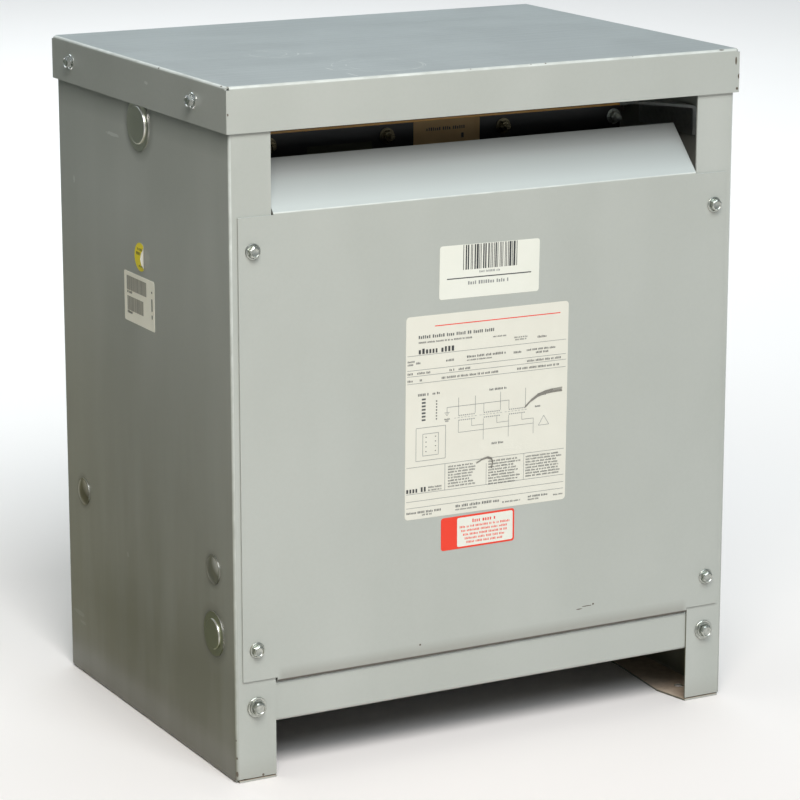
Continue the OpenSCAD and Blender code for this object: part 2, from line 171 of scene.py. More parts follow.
def swirls(tree, place, broken, circles):
    """Mask of fine circular scratches in a level face: each circle has a centre and a radius in millimetres.

    A scratch is solid to 0.3 mm from its middle line and gone at 0.9 mm. Broken is a noise that leaves gaps.
    """
    mask = 0.0
    for centre, radius in circles:
        offset = put(tree, "VectorMath", {0: place, 1: [c * MM for c in centre]}, operation="SUBTRACT")[0]
        length = put(tree, "VectorMath", {0: offset}, operation="LENGTH")["Value"]
        apart = put(tree, "Math", {0: length, 1: radius * MM}, operation="SUBTRACT")[0]
        apart = put(tree, "Math", {0: apart}, operation="ABSOLUTE")[0]
        line = put(tree, "MapRange", {"Value": apart, "From Min": 0.9 * MM, "From Max": 0.3 * MM})[0]
        mask = put(tree, "Math", {0: mask, 1: line}, operation="MAXIMUM")[0]
    gaps = put(tree, "MapRange", {"Value": broken, "From Min": 0.47, "From Max": 0.60})[0]
    return put(tree, "Math", {0: mask, 1: gaps}, operation="MULTIPLY")[0]


def plug_shade_rings(tree, place):
    """Mask of the painted contact shadow around the hole plugs: full at a plug's rim, gone half its radius
    further out.
    """
    mask = 0.0
    for plug in ("upper", "lower", "front", "rear"):
        low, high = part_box(f"left_{plug}_plug")
        radius = (high.y - low.y) / 2
        offset = put(tree, "VectorMath", {0: place, 1: (low + high) / 2}, operation="SUBTRACT")[0]
        upright = put(tree, "VectorMath", {0: offset, 1: (0.0, 1.0, 1.0)}, operation="MULTIPLY")[0]
        length = put(tree, "VectorMath", {0: upright}, operation="LENGTH")["Value"]
        rim = {"From Min": 1.45 * radius, "From Max": 0.95 * radius, "To Max": PLUG_SHADE}
        ring = put(tree, "MapRange", {"Value": length, **rim})[0]
        mask = put(tree, "Math", {0: mask, 1: ring}, operation="MAXIMUM")[0]
    return mask


def painted_fold_highlights(tree, tilt, square, patchy, part):
    """Mask of a painted highlight along the folds, in patches: where the sheet faces no side squarely, and
    not down.

    Square holds how squarely the sheet faces each axis. A cover's sloping flap isn't a fold.
    """
    most = 0.0
    for share in square:
        most = put(tree, "Math", {0: most, 1: share}, operation="MAXIMUM")[0]
    fold = put(tree, "MapRange", {"Value": most, "From Min": 0.975, "From Max": 0.90})[0]
    wear_and_highlight = {"From Min": 0.3, "From Max": 0.7, "To Min": 0.35, "To Max": 0.8}
    limits = [put(tree, "MapRange", {"Value": tilt, "From Min": -0.2, "From Max": -0.05})[0],
              put(tree, "MapRange", {"Value": patchy, **wear_and_highlight})[0]]
    if part == "cover":
        limits.append(put(tree, "MapRange", {"Value": square["Z"], "From Min": 0.67, "From Max": 0.60})[0])
    for limit in limits:
        fold = put(tree, "Math", {0: fold, 1: limit}, operation="MULTIPLY")[0]
    return fold


def lid_wear(tree, place, tilt):
    """Wear on the lid: dust on its top as a layer of colour, and how much wiping marks dull its gloss."""
    dusty = put(tree, "MapRange", {"Value": tilt, "From Min": 0.96, "From Max": 0.995, "To Max": 0.75})[0]
    along = put(tree, "Mapping", {"Vector": place, "Scale": (0.012, 1.0, 1.0)})[0]
    wiped = put(tree, "TexNoise", {"Vector": along, "Scale": per_mm(4), "Detail": 2.0})["Fac"]
    wiped = put(tree, "MapRange", {"Value": wiped, "From Min": 0.35, "From Max": 0.7, "To Max": 0.10})[0]
    return [(dusty, linear("#8E9698"))], wiped


def cover_painted_light(tree, place, tilt):
    """Painted light on a cover, as layers of colour.

    The flap has a painted reflection of the cool sky, pale at its crease, and a painted shadow of the lid's
    skirt above; undersides of the folds have painted shade, and a painted brown shade lies over the seam at
    the rail.
    """
    # The flap gets painted light: a pale bluish painted reflection at its crease that turns dull upwards into
    # a painted shadow of the lid's skirt
    sloping = put(tree, "MapRange", {"Value": tilt, "From Min": 0.45, "From Max": 0.62, "To Max": 0.85})[0]
    rising = by_height(tree, place, *FLAP_PAINTED_LIGHT)
    dust_and_painted_light = put(tree, "Mix", {0: rising, 6: linear("#BEC4C2"), 7: linear("#8A8C8B")}, data_type="RGBA")[2]
    # Painted shade on the undersides of the folds, nearly black brown
    under = put(tree, "MapRange", {"Value": tilt, "From Min": -0.02, "From Max": -0.35, "To Max": 0.96})[0]
    # Painted brown shade on the cover just above the seam at the rail, between the posts
    across = put(tree, "SeparateXYZ", {0: place})["X"]
    across = put(tree, "Math", {0: across}, operation="ABSOLUTE")[0]
    between = put(tree, "MapRange", {"Value": across, "From Min": SEAM_END, "From Max": SEAM_FULL})[0]
    seam_shade = by_height(tree, place, *SEAM_SHADE)
    seam_shade = put(tree, "Math", {0: seam_shade, 1: between}, operation="MULTIPLY")[0]
    return [(sloping, dust_and_painted_light), (under, linear("#3A322A")), (seam_shade, linear("#63574A"))]


def side_dirt_and_shade(tree, place, tilt, sideways):
    """Dirt and painted shade on a side panel as layers of colour, and the mask of the grit on its foot
    flange.

    The foot is soiled, and the grit on its flange is painted pale as if lit. On the wall, painted shade in
    upright streaks darkens it towards the floor, a painted contact shadow rings each plug, and a painted
    shadow of the lid's skirt lies under it.
    """
    # Grit on the foot flange: real dust, in colours painted pale as painted light where the object shades the
    # flange
    level = put(tree, "MapRange", {"Value": tilt, "From Min": 0.3, "From Max": 0.8})[0]
    lying = by_height(tree, place, *FLANGE_GRIT)
    lying = put(tree, "Math", {0: lying, 1: level}, operation="MULTIPLY")[0]
    coarse = {"Vector": place, "Scale": per_mm(9), "Detail": 6.0, "Roughness": 0.7}
    pale_painted_grit = put(tree, "TexNoise", coarse)["Fac"]
    pale_painted_grit = put(tree, "Mix", {0: pale_painted_grit, 6: linear("#A58B76"), 7: linear("#F4DFC8")}, data_type="RGBA")[2]
    layers = [(lying, pale_painted_grit), (by_height(tree, place, *FOOT_SOIL), linear("#7C7468"))]
    # Painted shade that darkens the wall towards the bottom, broken into upright streaks
    upright = put(tree, "Mapping", {"Vector": place, "Scale": (1.0, 1.0, 0.16)})[0]
    wiped = put(tree, "TexNoise", {"Vector": upright, "Scale": per_mm(34), "Detail": 3.0})["Fac"]
    kept = {"From Min": 0.42, "From Max": 0.70, "To Min": 1.0, "To Max": 0.88}
    wiped = put(tree, "MapRange", {"Value": wiped, **kept})[0]
    painted_low_shade = by_height(tree, place, *WALL_LOW_SHADE)
    painted_low_shade = put(tree, "Math", {0: painted_low_shade, 1: wiped}, operation="MULTIPLY")[0]
    # Painted shade that darkens the wall further near the floor
    near_floor_shade = by_height(tree, place, *NEAR_FLOOR_SHADE)
    # Painted shadow of the lid's skirt on the strip under it
    skirt_shadow = by_height(tree, place, *SKIRT_SHADE)
    # Painted contact shadow around the plugs; each painted shade here is kept to the wall
    for mask, colour in ((painted_low_shade, "#4F4D2C"), (near_floor_shade, "#3F3A28"), (plug_shade_rings(tree, place), "#3A382C"),
                         (skirt_shadow, "#565A54")):
        on_wall = put(tree, "Math", {0: mask, 1: sideways}, operation="MULTIPLY")[0]
        layers.append((on_wall, linear(colour)))
    return layers, lying


def grey_enamel(name, part, chips=(), scuffs=(), circles=(), haze=0.22):
    """Grey enamel, sprayed on sheet steel and baked: satin, with fine orange peel over slow waves.

    Handling leaves soft smudges, whose share is the haze, and the folds get a painted highlight. Scuffs and
    circles are pale, and chips show dark primer. Part says which sheet it is: the lid has its own dust, the
    covers their painted light, and the sides their dirt and painted shade.
    """
    material, tree, place = start_material(name)
    normal = put(tree, "NewGeometry")["Normal"]
    tilt = put(tree, "SeparateXYZ", {0: normal})["Z"]
    square = put(tree, "VectorMath", {0: normal}, operation="ABSOLUTE")[0]
    square = put(tree, "SeparateXYZ", {0: square})
    cloudy = put(tree, "TexNoise", {"Vector": place, "Scale": per_mm(140), "Detail": 3.0})["Fac"]
    patchy = put(tree, "TexNoise", {"Vector": place, "Scale": per_mm(18), "Detail": 3.0})["Fac"]
    fine = put(tree, "TexNoise", {"Vector": place, "Scale": per_mm(3.5), "Detail": 4.0})["Fac"]
    speck = put(tree, "MapRange", {"Value": fine, "From Min": 0.35, "From Max": 0.75, "To Max": 0.10})[0]
    upright = put(tree, "Mapping", {"Vector": place, "Scale": (1.0, 1.0, 0.35)})[0]
    soft = {"Scale": per_mm(75), "Detail": 2.0, "Roughness": 0.4}
    smudge = put(tree, "TexNoise", {"Vector": upright, **soft})["Fac"]
    smudge = put(tree, "MapRange", {"Value": smudge, "From Min": 0.42, "From Max": 0.80})[0]
    hazy = put(tree, "Math", {0: smudge, 1: haze}, operation="MULTIPLY")[0]
    roughness = put(tree, "MapRange", {"Value": smudge, "To Min": 0.28, "To Max": 0.38})[0]
    layers = [(speck, linear("#9A9A90")), (hazy, linear("#BCBDB6"))]
    if part == "lid":
        dust_and_painted_light, wiped = lid_wear(tree, place, tilt)
        layers += dust_and_painted_light
        roughness = put(tree, "Math", {0: roughness, 1: wiped}, operation="ADD")[0]
    if part == "cover":
        # Covers get painted light: a painted reflection and shadow on the flap, painted shade under folds and
        # over the seam
        layers += cover_painted_light(tree, place, tilt)
    # Painted highlight along the folds
    layers.append((painted_fold_highlights(tree, tilt, square, patchy, part), linear("#DDE0DA")))
    swirled = swirls(tree, place, patchy, circles)
    scuffed = spots(tree, place, fine, scuffs)
    for mask, share in ((swirled, 0.5), (scuffed, 0.55)):
        pale = put(tree, "Math", {0: mask, 1: share}, operation="MULTIPLY")[0]
        layers.append((pale, linear("#D4D6D0")))
    if part == "side":
        # Sides get dirt and painted shade, and grit on the flange painted pale as if lit
        dirt, pale_painted_grit = side_dirt_and_shade(tree, place, tilt, square["X"])
        layers += dirt
        roughness = put(tree, "Math", {0: pale_painted_grit, 1: roughness}, operation="MAXIMUM")[0]
    layers.append((spots(tree, place, fine, chips), linear("#554A3D")))
    tone = put(tree, "Mix", {0: cloudy, 6: linear("#A6A8A0"), 7: linear("#AEB0A9")}, data_type="RGBA")[2]
    for mask, colour in layers:
        tone = put(tree, "Mix", {0: mask, 6: tone, 7: colour}, data_type="RGBA")[2]
    peel = put(tree, "TexNoise", {"Vector": place, "Scale": per_mm(1.8), "Detail": 1.0})["Fac"]
    waves = put(tree, "TexNoise", {"Vector": place, "Scale": per_mm(230), "Detail": 1.0})["Fac"]
    bump = put(tree, "Bump", {"Strength": 0.5, "Distance": 0.9 * MM, "Height": waves})[0]
    bump = put(tree, "Bump", {"Strength": 0.25, "Distance": 0.05 * MM, "Height": peel, "Normal": bump})[0]
    return end_material(material, {"IOR": 1.5, "Base Color": tone, "Roughness": roughness, "Normal": bump})


def clouded_metal(name, bright, dull, low, high, patch_size=5, dent=0.15, glinting=False):
    """Plated, dipped or varnished metal: bright, with its gloss clouded over in patches of a few millimetres.

    Low and high are its roughness where it is clear and clouded, dent the depth of its dents in millimetres.
    A glinting piece has a painted glint on its shoulders that face the front and the top.
    """
    material, tree, place = start_material(name)
    patch = put(tree, "TexNoise", {"Vector": place, "Scale": per_mm(patch_size), "Detail": 4.0})["Fac"]
    tone = put(tree, "Mix", {0: patch, 6: linear(bright), 7: linear(dull)}, data_type="RGBA")[2]
    clouding = {"From Min": 0.3, "From Max": 0.7, "To Min": low, "To Max": high}
    gloss = put(tree, "MapRange", {"Value": patch, **clouding})[0]
    if glinting:
        # Painted glint on the shoulders that face the front and the top
        normal = put(tree, "NewGeometry")["Normal"]
        toward_glint = put(tree, "VectorMath", {0: normal, 1: GLINT_FROM}, operation="DOT_PRODUCT")["Value"]
        wear_and_highlight = put(tree, "MapRange", {"Value": toward_glint, "From Min": 0.27, "From Max": 0.52})[0]
        tone = put(tree, "Mix", {0: wear_and_highlight, 6: tone, 7: linear("#F8F8F4")}, data_type="RGBA")[2]
    dents = put(tree, "TexNoise", {"Vector": place, "Scale": per_mm(2.5), "Detail": 2.0})["Fac"]
    bump = put(tree, "Bump", {"Strength": 0.25, "Distance": dent * MM, "Height": dents})[0]
    return end_material(material, {"Metallic": 1.0, "Base Color": tone, "Roughness": gloss, "Normal": bump})


def core_sheets():
    """Silicon steel sheets, stacked and varnished: dark edges with lines, drawn 4 mm apart to show."""
    material, tree, place = start_material("core_sheets")
    sheets = {"Vector": place, "Scale": wave_scale(4), "Distortion": 0.4}
    stack = put(tree, "TexWave", sheets, bands_direction="Y")["Fac"]
    stain = put(tree, "TexNoise", {"Vector": place, "Scale": per_mm(35), "Detail": 4.0})["Fac"]
    tone = put(tree, "Mix", {0: stain, 6: linear("#35373B"), 7: linear("#5B544B")}, data_type="RGBA")[2]
    bump = put(tree, "Bump", {"Strength": 0.6, "Distance": 0.3 * MM, "Height": stack})[0]
    return end_material(material, {"Metallic": 0.6, "Roughness": 0.45, "Base Color": tone, "Normal": bump})


def varnished_wrap(name, light, dark, band):
    """Insulating paper wound around a coil and dipped in varnish: amber brown, glossy, with lapped edges."""
    material, tree, place = start_material(name)
    bands = {"Vector": place, "Scale": wave_scale(band), "Distortion": 0.8, "Detail": 1.0}
    laps = put(tree, "TexWave", bands, bands_direction="Z", wave_profile="SAW")["Fac"]
    runs = put(tree, "Mapping", {"Vector": place, "Scale": (1.0, 1.0, 0.2)})[0]
    pooled = put(tree, "TexNoise", {"Vector": runs, "Scale": per_mm(14), "Detail": 5.0})["Fac"]
    tone = put(tree, "Mix", {0: pooled, 6: linear(dark), 7: linear(light)}, data_type="RGBA")[2]
    gloss = put(tree, "MapRange", {"Value": pooled, "To Min": 0.25, "To Max": 0.55})[0]
    bump = put(tree, "Bump", {"Strength": 0.7, "Distance": 0.6 * MM, "Height": laps})[0]
    return end_material(material, {"IOR": 1.52, "Coat Weight": 0.5, "Coat Roughness": 0.15,
                                   "Base Color": tone, "Roughness": gloss, "Normal": bump})


def varnished_board(name, light, dark, sawn=None):
    """Laminated board, pressed, sawn and varnished: fibrous lengthwise, glossy where the varnish pooled.

    The dark tap board shows its paler core on the sawn edges.
    """
    material, tree, place = start_material(name)
    along = put(tree, "Mapping", {"Vector": place, "Scale": (0.12, 1.0, 1.0)})[0]
    fibre = put(tree, "TexNoise", {"Vector": along, "Scale": per_mm(2.5), "Detail": 5.0})["Fac"]
    tone = put(tree, "Mix", {0: fibre, 6: linear(dark), 7: linear(light)}, data_type="RGBA")[2]
    if sawn:
        facing_front = put(tree, "SeparateXYZ", {0: put(tree, "NewGeometry")["Normal"]})["Y"]
        facing_front = put(tree, "Math", {0: facing_front}, operation="ABSOLUTE")[0]
        edge = put(tree, "MapRange", {"Value": facing_front, "From Min": 0.7, "From Max": 0.5})[0]
        top = by_height(tree, place, *[board_high.z / MM - drop for drop in SAWN_EDGE], 1.0)
        edge = put(tree, "Math", {0: edge, 1: top}, operation="MAXIMUM")[0]
        tone = put(tree, "Mix", {0: edge, 6: tone, 7: linear(sawn)}, data_type="RGBA")[2]
    gloss = put(tree, "MapRange", {"Value": fibre, "To Min": 0.22, "To Max": 0.5})[0]
    bump = put(tree, "Bump", {"Strength": 0.3, "Distance": 0.2 * MM, "Height": fibre})[0]
    return end_material(material, {"IOR": 1.52, "Base Color": tone, "Roughness": gloss, "Normal": bump})


def varnished_steel():
    """Hot-rolled steel dipped with the coils: black brown, with runs of varnish and faint rust through it."""
    material, tree, place = start_material("varnished_steel")
    rolled = {"Vector": place, "Scale": per_mm(22), "Detail": 6.0, "Roughness": 0.6}
    scale = put(tree, "TexNoise", rolled)["Fac"]
    tone = put(tree, "Mix", {0: scale, 6: linear("#1F1E1C"), 7: linear("#4A4238")}, data_type="RGBA")[2]
    gloss = put(tree, "MapRange", {"Value": scale, "To Min": 0.3, "To Max": 0.6})[0]
    bump = put(tree, "Bump", {"Strength": 0.3, "Distance": 0.2 * MM, "Height": scale})[0]
    return end_material(material, {"Metallic": 0.35, "Base Color": tone, "Roughness": gloss, "Normal": bump})


def moulded_rubber():
    """Black rubber, moulded: matt and greyed by dust in patches."""
    material, tree, place = start_material("moulded_rubber")
    dust_and_painted_light = put(tree, "TexNoise", {"Vector": place, "Scale": per_mm(8), "Detail": 5.0})["Fac"]
    tone = put(tree, "Mix", {0: dust_and_painted_light, 6: linear("#151514"), 7: linear("#3B3935")}, data_type="RGBA")[2]
    bump = put(tree, "Bump", {"Strength": 0.2, "Distance": 0.1 * MM, "Height": dust_and_painted_light})[0]
    return end_material(material, {"IOR": 1.52, "Roughness": 0.75, "Base Color": tone, "Normal": bump})


def label_film(name, light, dark, roughness):
    """Label film, tag paper or the ink on it: even, with the faint clouds of age."""
    material, tree, place = start_material(name)
    aged = put(tree, "TexNoise", {"Vector": place, "Scale": per_mm(26), "Detail": 4.0})["Fac"]
    tone = put(tree, "Mix", {0: aged, 6: linear(light), 7: linear(dark)}, data_type="RGBA")[2]
    return end_material(material, {"IOR": 1.5, "Roughness": roughness, "Base Color": tone})


def pale_floor():
    """Pale floor paint, rolled: matt and even."""
    material, tree, place = start_material("pale_floor")
    rolled = put(tree, "TexNoise", {"Vector": place, "Scale": per_mm(700), "Detail": 2.0})["Fac"]
    tone = put(tree, "Mix", {0: rolled, 6: linear("#FAF2EE"), 7: linear("#FCF5F2")}, data_type="RGBA")[2]
    return end_material(material, {"Roughness": 0.7, "Base Color": tone})


def grey_card():
    """Grey card, dyed: matt and even."""
    material = bpy.data.materials.new("grey_card")
    material.use_nodes = True
    return end_material(material, {"Roughness": 0.9, "Base Color": linear("#70756A")})


def glowing_card():
    """Brown card with a painted glow: an emission that fades to the rear. The card thins out at its top."""
    material, tree, place = start_material("brown_card")
    depth = put(tree, "SeparateXYZ", {0: place})["Y"]
    fading = {"From Min": -0.15, "From Max": 0.3, "To Min": 0.16, "To Max": 0.02}
    glow = put(tree, "MapRange", {"Value": depth, **fading})[0]
    return end_material(material, {"Roughness": 0.9, "Base Color": linear("#C2B798"),
                                   "Emission Color": linear("#EDF6FF"), "Emission Strength": glow,
                                   "Alpha": by_height(tree, place, 540, 340, 1.0)})


# Marks that use has left, in millimetres: a centre and half sizes, and for a swirl a centre and a radius
LID_CHIPS = [
    ((291, -219.5, 697), (1.2, 2, 4)), ((296, -219, 681), (2.5, 3, 3)), ((293, -219, 668), (1.5, 3, 1.5)),
    ((-294, -219, 683), (1, 2, 1.6)), ((-26, -219, 710), (1.6, 2, 1)), ((44, -219, 710), (1.2, 2, 0.8)),
    ((61, -219, 710), (1.6, 2, 1)), ((165, -219, 710), (1.2, 2, 0.8)), ((273, -219, 710), (4, 2, 1.2)),
    ((-295, -60, 709), (1, 2, 1)), ((-294, -206, 709), (1, 2, 1))]
LID_SCUFFS = [
    ((-151, -154, 710), (1.2, 9, 1)), ((-149, -200, 710), (1, 14, 1)), ((-120, -45, 710), (6, 1, 1)),
    ((-294.5, -30, 690), (2, 6, 2))]
LID_SWIRLS = [
    ((-155, -28, 710), 29), ((-152, -30, 710), 25), ((-158, -27, 710), 20), ((-95, -150, 710), 46),
    ((-88, -155, 710), 40)]
SIDE_CHIPS = [
    ((-291, -216, 10), (1.4, 2.4, 3.6)), ((-291, -216, 27), (0.9, 2, 1.6)), ((-292, -212, 4), (1.6, 3, 1.4)),
    ((-282, -216, 3), (3.5, 2, 1.0)), ((-262, -216, 5), (1.2, 2, 1.4)), ((-291.5, -216, 46), (0.7, 2, 1.6))]
SIDE_SCUFFS = [
    ((-292, 67, 623.5), (1, 18, 2)), ((-292, 175, 560), (1, 2, 4)), ((-292, 50, 172), (1, 3, 3)),
    ((-292, 190, 68), (1, 15, 3)), ((-292, 179, 59), (1, 8, 2))]
COVER_CHIPS = [
    ((110, -218, 125.8), (4, 1, 0.6)), ((119, -218, 128), (6, 1, 0.5)), ((127, -218, 129), (1.2, 1, 1.2)),
    ((-82, -218, 116), (1.2, 1, 1.2))]
RAIL_CHIPS = [((150, -218, 101), (4, 2, 0.8)), ((-150, -218, 59), (4, 2, 1)), ((20, -218, 59), (2, 2, 0.8))]

# How the plugs' plate differs: nearly even, smooth, and with a painted glint
PLUG_PLATE = {"low": 0.26, "high": 0.36, "patch_size": 60, "dent": 0.004, "glinting": True}

FINISHES = {
    "lid": grey_enamel("grey_enamel_lid", "lid", LID_CHIPS, LID_SCUFFS, LID_SWIRLS),
    "side": grey_enamel("grey_enamel_side", "side", SIDE_CHIPS, SIDE_SCUFFS, haze=0.5),
    "cover": grey_enamel("grey_enamel_cover", "cover", COVER_CHIPS),
    "rail": grey_enamel("grey_enamel_rail", "rail", RAIL_CHIPS),
    "zinc": clouded_metal("zinc_plate", "#D2D5CE", "#94978F", 0.25, 0.44, 4),
    # A lighter copy of the zinc plate for the lid's screws: painted light that makes them shine on the shaded
    # side
    "bright_zinc": clouded_metal("zinc_plate_painted_bright", "#FBFCFA", "#D8DBD8", 0.17, 0.3, 4),
    "small_plug": clouded_metal("zinc_small_plug", "#A2A293", "#8C8C7C", **PLUG_PLATE),
    "low_plug": clouded_metal("zinc_chromate_plug", "#A6AB8C", "#8E9274", **PLUG_PLATE),
    "plug": clouded_metal("zinc_plate_plug", "#D2D3C6", "#B8B8A8", **PLUG_PLATE),
    "core": core_sheets(),
    "inner": varnished_wrap("varnished_paper", "#A5722F", "#5E3A16", 44),
    "outer": varnished_wrap("varnished_tape", "#7E5424", "#3E2610", 52),
    "board": varnished_board("varnished_board", "#A8772F", "#6E4718"),
    "tap": varnished_board("varnished_tap_board", "#15130F", "#0B0A08", "#F2B35C"),
    "clamp": varnished_steel(),
    "galvanised": clouded_metal("galvanised_sheet", "#E2E4E2", "#C9CCCA", 0.45, 0.65),
    "stud": clouded_metal("varnished_brass", "#948A70", "#332E25", 0.22, 0.42),
    "rubber": moulded_rubber(),
    "cream": label_film("cream_label_film", "#DBD8CB", "#D5D1C3", 0.4),
    "pale": label_film("pale_label_film", "#FFFBEA", "#F8F3E0", 0.28),
    "white": label_film("white_label_film", "#E0DFD4", "#DAD9CC", 0.4),
    "shade": label_film("grey_label_film", "#C6C2B4", "#BAB6A8", 0.45),
    "ink": label_film("black_label_ink", "#3B3C3D", "#2C2D2E", 0.5),
    "grey_ink": label_film("grey_label_ink", "#8E8F8C", "#7C7D7B", 0.5),
    "text_ink": label_film("dark_label_ink", "#5A5B5A", "#4C4D4C", 0.5),
    "scuff": label_film("rubbed_dirt", "#8F8B82", "#6A665E", 0.7),
    "olive": label_film("olive_tag_paper", "#3A3A28", "#2C2C1F", 0.7),
    "red": label_film("red_label_ink", "#E63A20", "#DD341B", 0.4),
    "yellow": label_film("yellow_sticker_film", "#FFEA1C", "#F8E21A", 0.35),
    "faded": label_film("faded_label_ink", "#9F9C90", "#8E8B80", 0.5),
    "tan": label_film("tan_tag_paper", "#C4A274", "#AA875A", 0.7),
}

NODE_FINISHES = {
    "lid": ["lid"],
    "side": ["left_side_panel", "right_side_panel"],
    "cover": ["front_cover", "rear_cover"],
    "rail": ["front_rail", "rear_rail"],
    "core": ["core_bottom_yoke", "core_top_yoke", "core_left_leg", "core_middle_leg", "core_right_leg"],
    "inner": [f"{side}_inner_winding" for side in ("left", "middle", "right")],
    "outer": [f"{side}_outer_winding" for side in ("left", "middle", "right")],
    "board": [f"{side}_duct_sticks" for side in ("left", "middle", "right")]
             + ["bottom_end_blocks", "top_end_blocks", "tap_board_spacers"],
    "tap": ["tap_board"],
    "clamp": ["left_base_channel", "right_base_channel", "bottom_clamp_front", "bottom_clamp_rear",
              "top_clamp_front", "top_clamp_rear"],
    "galvanised": ["left_core_brace", "right_core_brace"],
    "rubber": ["vibration_pads"],
    "plug": ["left_upper_plug", "right_upper_plug"],
    "low_plug": ["left_lower_plug", "right_lower_plug"],
    "small_plug": [f"{side}_{place}_plug" for side in ("left", "right") for place in ("front", "rear")],
}
for finish, names in NODE_FINISHES.items():
    for name in names:
        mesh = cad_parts[name].data
        mesh.materials.clear()
        mesh.materials.append(FINISHES[finish])


def facing(point, normal, spin):
    """Matrix that puts a piece made around +Z on a point, facing along the normal and turned by spin."""
    turn = normal.to_track_quat("Z", "Y").to_matrix().to_4x4()
    return Matrix.Translation(point) @ turn @ Matrix.Rotation(spin, 4, "Z")


def skin(mesh, loops):
    """Closes a stack of loops that have as many points each: walls between them, and a face at both ends."""
    for low, high in zip(loops, loops[1:]):
        for i in range(len(low)):
            j = (i + 1) % len(low)
            mesh.faces.new((low[i], low[j], high[j], high[i]))
    mesh.faces.new(reversed(loops[0]))
    mesh.faces.new(loops[-1])


RING_POINTS = 48
HEX = "hexagon"


def add_turned(mesh, matrix, rings):
    """Adds a closed turned piece: a ring has a height and a radius in mm, and HEX where it is a hexagon."""
    loops = []
    for height, radius, *hexagon in rings:
        loop = []
        for i in range(RING_POINTS):
            angle = 2 * math.pi * i / RING_POINTS
            reach = radius
            if hexagon:
                reach = radius / math.cos((angle + math.pi / 6) % (math.pi / 3) - math.pi / 6)
            spot = Vector((reach * math.cos(angle), reach * math.sin(angle), height)) * MM
            loop.append(mesh.verts.new(matrix @ spot))
        loops.append(loop)
    skin(mesh, loops)


SMOOTH_ANGLE = math.radians(32)


def finish_piece(name, mesh, finishes):
    """Turns the mesh into a named piece of the object, shaded smooth over gentle edges."""
    data = bpy.data.meshes.new(name)
    mesh.to_mesh(data)
    mesh.free()
    for finish in finishes:
        data.materials.append(FINISHES[finish])
    piece = bpy.data.objects.new(name, data)
    bpy.context.scene.collection.objects.link(piece)
    data.shade_smooth()
    data.set_sharp_from_angle(angle=SMOOTH_ANGLE)
    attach(piece, "root")


# Turned shapes of the fasteners: rings of height and radius, in mm. A thread's rings are half a pitch apart
COVER_SCREW = [(0, 7.6), (0, 8.1), (0.8, 8.2), (1.5, 7.6), (1.7, 6.7), (1.1, 6.2), (1.1, 5.4, HEX),
               (6.0, 5.4, HEX), (6.7, 4.9), (6.9, 4.4), (6.2, 3.7), (5.7, 1.2)]
WASHER = [(0, 9.8), (0, 10.4), (0.4, 10.6), (1.5, 10.6), (1.9, 10.2), (1.9, 6.8)]
LEG_BOLT = [(1.8, 8.2), (2.4, 8.4), (3.3, 7.9), (3.4, 7.2), (2.7, 6.8), (2.7, 6.0, HEX), (8.2, 6.0, HEX),
            (9.0, 5.5), (9.2, 4.8), (8.6, 4.1), (8.5, 1.0)]
PLAIN_BOLT = [(0, 8.0), (0, 8.6), (1.4, 8.6), (1.5, 6.4, HEX), (6.2, 6.4, HEX), (7.0, 5.8), (7.0, 1.0)]
NUT = [(0, 8.4), (1.4, 8.4), (1.5, 5.9), (2.0, 6.4, HEX), (7.6, 6.4, HEX), (8.2, 5.9), (8.2, 4.0)]
THREAD = [(8.0 + 0.625 * i, 3.9 if i % 2 else 3.45) for i in range(15)] + [(17.4, 2.9)]
STUD_NUT = [(0, 8.2), (1.2, 8.2), (1.4, 6.9), (2.4, 6.9), (2.5, 5.4, HEX), (6.6, 5.4, HEX),
            (7.2, 5.0), (7.2, 3.2)]
STUD_END = [(7.0 + 0.5 * i, 3.0 if i % 2 else 2.65) for i in range(13)] + [(13.4, 2.2)]


def fasteners(name, shapes, places, seed, finish="zinc"):
    """One piece with a fastener at each place: a point and a direction. Each one's spin is drawn by seed."""
    draw = random.Random(seed)
    mesh = bmesh.new()
    for point, normal in places:
        matrix = facing(Vector(point), normal, draw.uniform(0, math.pi / 3))
        for rings in shapes:
            add_turned(mesh, matrix, rings)
    finish_piece(name, mesh, [finish])


# Cover screws, leg bolts and their nuts
screw_x = (SCREW_IN - half_w, half_w - SCREW_IN)
bolt_z = rail_z + LEG_BOLT_UP
for name, normal, face_y, post_y in (("front", FRONT, front_y, -half_d), ("rear", REAR, -front_y, half_d)):
    nut_y = post_y - normal.y * (POST_SHEET + RAIL_SHEET)
    screws = [((x, face_y, z), normal) for x in screw_x for z in SCREW_ROWS]
    fasteners(f"{name}_cover_screws", [COVER_SCREW], screws, f"{name} cover")
    bolts = [((x, post_y, bolt_z), normal) for x in screw_x]
    fasteners(f"{name}_leg_bolts", [WASHER, LEG_BOLT], bolts, f"{name} leg")
    nuts = [((x, nut_y, bolt_z), -normal) for x in screw_x]
    fasteners(f"{name}_leg_nuts", [NUT, THREAD], nuts, f"{name} nuts")

# Lid screws, in a copy of the zinc plate painted brighter
lid_screw_z = lid_high.z - LID_SCREW_DROP
lid_screw_y = (-half_d + LID_SCREW_FRONT, half_d - LID_SCREW_REAR)
for name, normal, face_x in (("left", LEFT, lid_low.x), ("right", RIGHT, lid_high.x)):
    screws = [((face_x, y, lid_screw_z), normal) for y in lid_screw_y]
    fasteners(f"{name}_lid_screws", [COVER_SCREW], screws, f"{name} lid", "bright_zinc")

